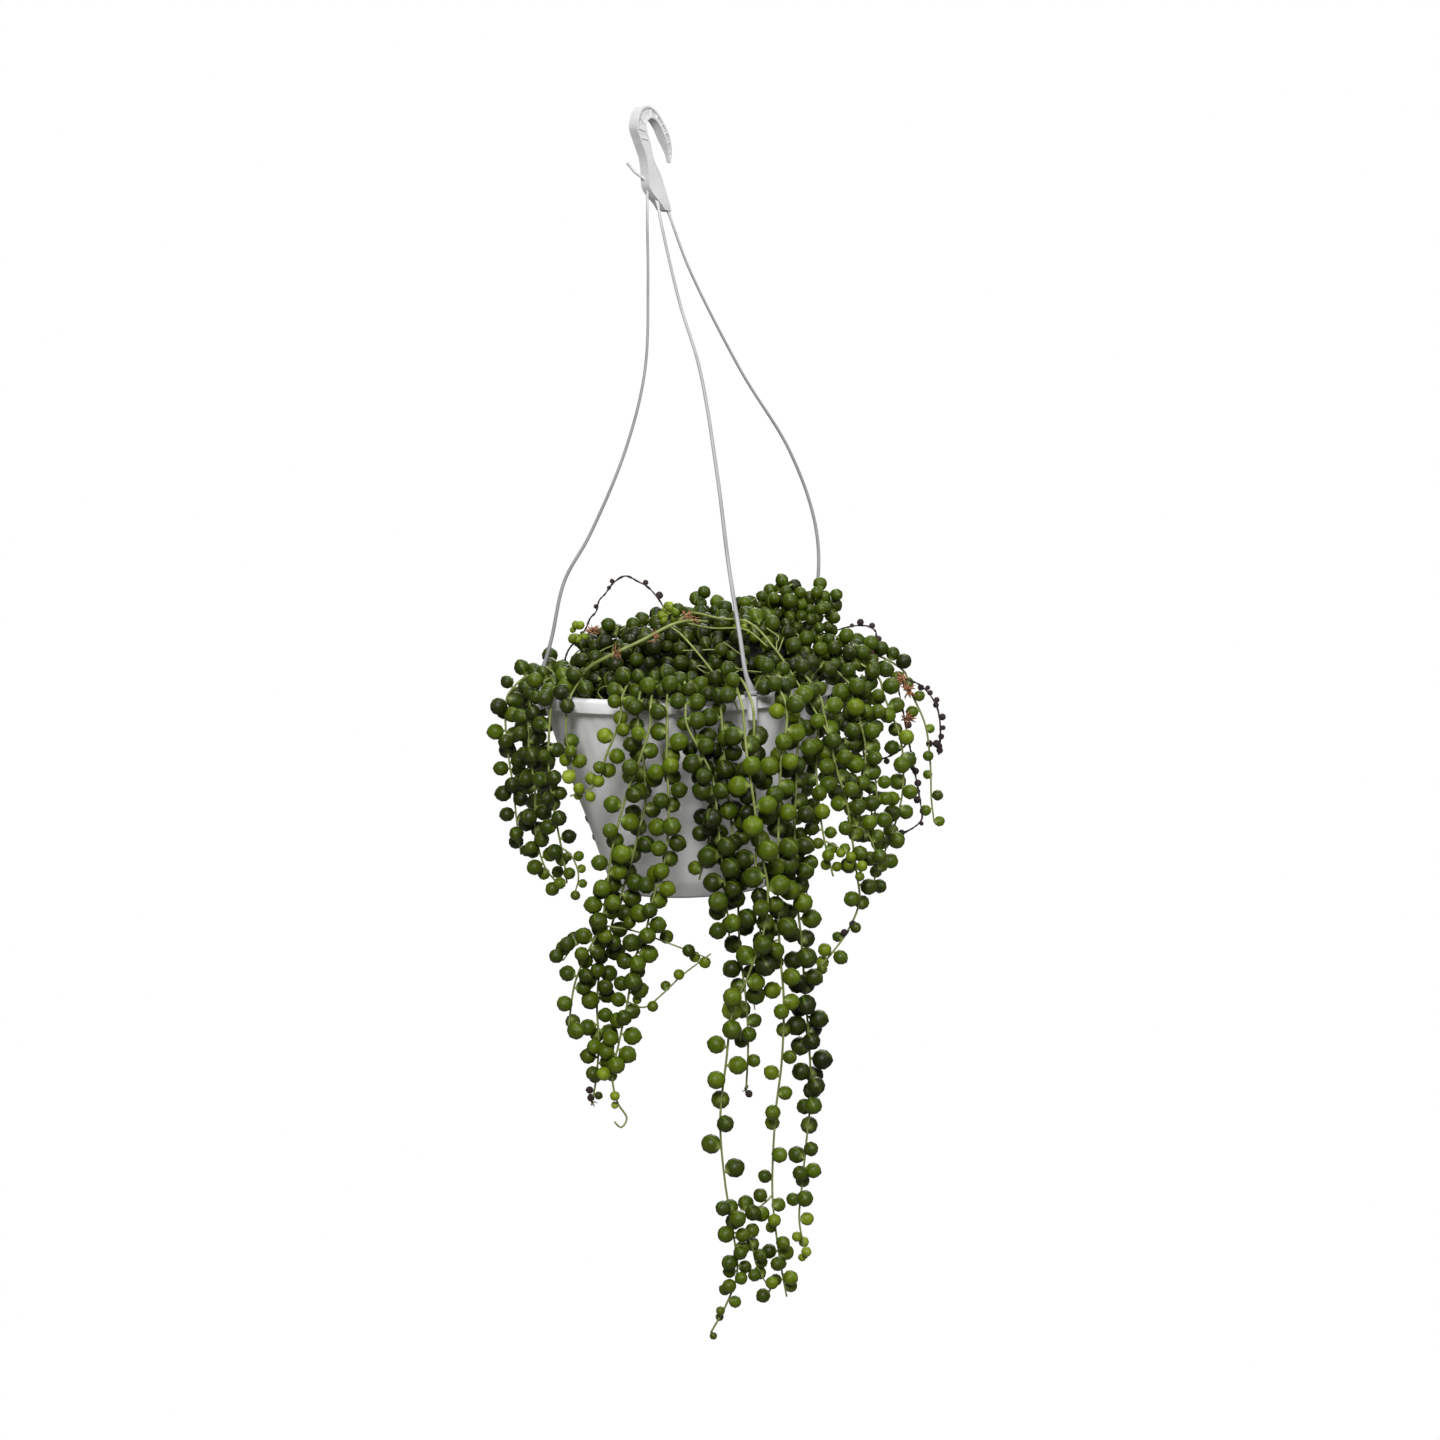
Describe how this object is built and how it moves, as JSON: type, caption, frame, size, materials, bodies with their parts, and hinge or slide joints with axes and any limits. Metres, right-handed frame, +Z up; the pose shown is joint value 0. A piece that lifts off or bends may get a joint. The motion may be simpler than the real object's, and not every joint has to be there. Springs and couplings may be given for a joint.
{
  "type": "potted string of pearls",
  "caption": "Hanging plastic pot on an arched hanger with a hook, filled with a mound of string of pearls whose beaded stems trail over the rim.",
  "frame": {"origin": "the point inside the hook's top where a rod or rail carries the whole", "axes": "+Z up, along the pull of the hook; -Y towards the side with the longest strings; the pot's axis is parallel to Z at x = 0.007"},
  "size_m": [0.2264, 0.2112, 0.5955],
  "materials": {
    "pot_plastic": "moulded white polypropylene, satin",
    "hanger_plastic": "moulded white polypropylene, satin",
    "potting_mix": "crumbly dark potting mix",
    "pearls": "smooth waxy succulent skin, deep green",
    "young_pearls": "smooth waxy succulent skin, yellow green",
    "dried_stem": "dry, brown to black"
  },
  "bodies": {
    "root": {"pot": "pot_plastic", "soil": "potting_mix", "hanger": "hanger_plastic", "dried_arch": "dried_stem", "dried_right": "dried_stem", "string_left_1": "pearls", "string_left_2": "pearls", "string_left_3": "pearls", "string_left_4": "pearls", "string_young_1": "young_pearls", "string_front_1": "pearls", "string_front_2": "pearls", "string_front_3": "pearls", "string_front_4": "pearls", "string_long_1": "pearls", "string_long_2": "pearls", "string_long_3": "pearls", "string_long_4": "pearls", "string_bundle_1": "pearls", "string_bundle_2": "pearls", "string_right_1": "pearls", "string_right_2": "pearls", "string_right_3": "pearls", "string_right_4": "pearls", "string_right_5": "pearls", "string_right_6": "pearls", "string_back_1": "pearls", "string_back_2": "pearls", "string_back_3": "pearls", "string_back_4": "pearls", "string_back_5": "pearls", "string_back_6": "pearls", "string_back_7": "pearls", "string_back_8": "pearls", "string_back_9": "pearls", "mound": "pearls"}
  },
  "joints": []
}
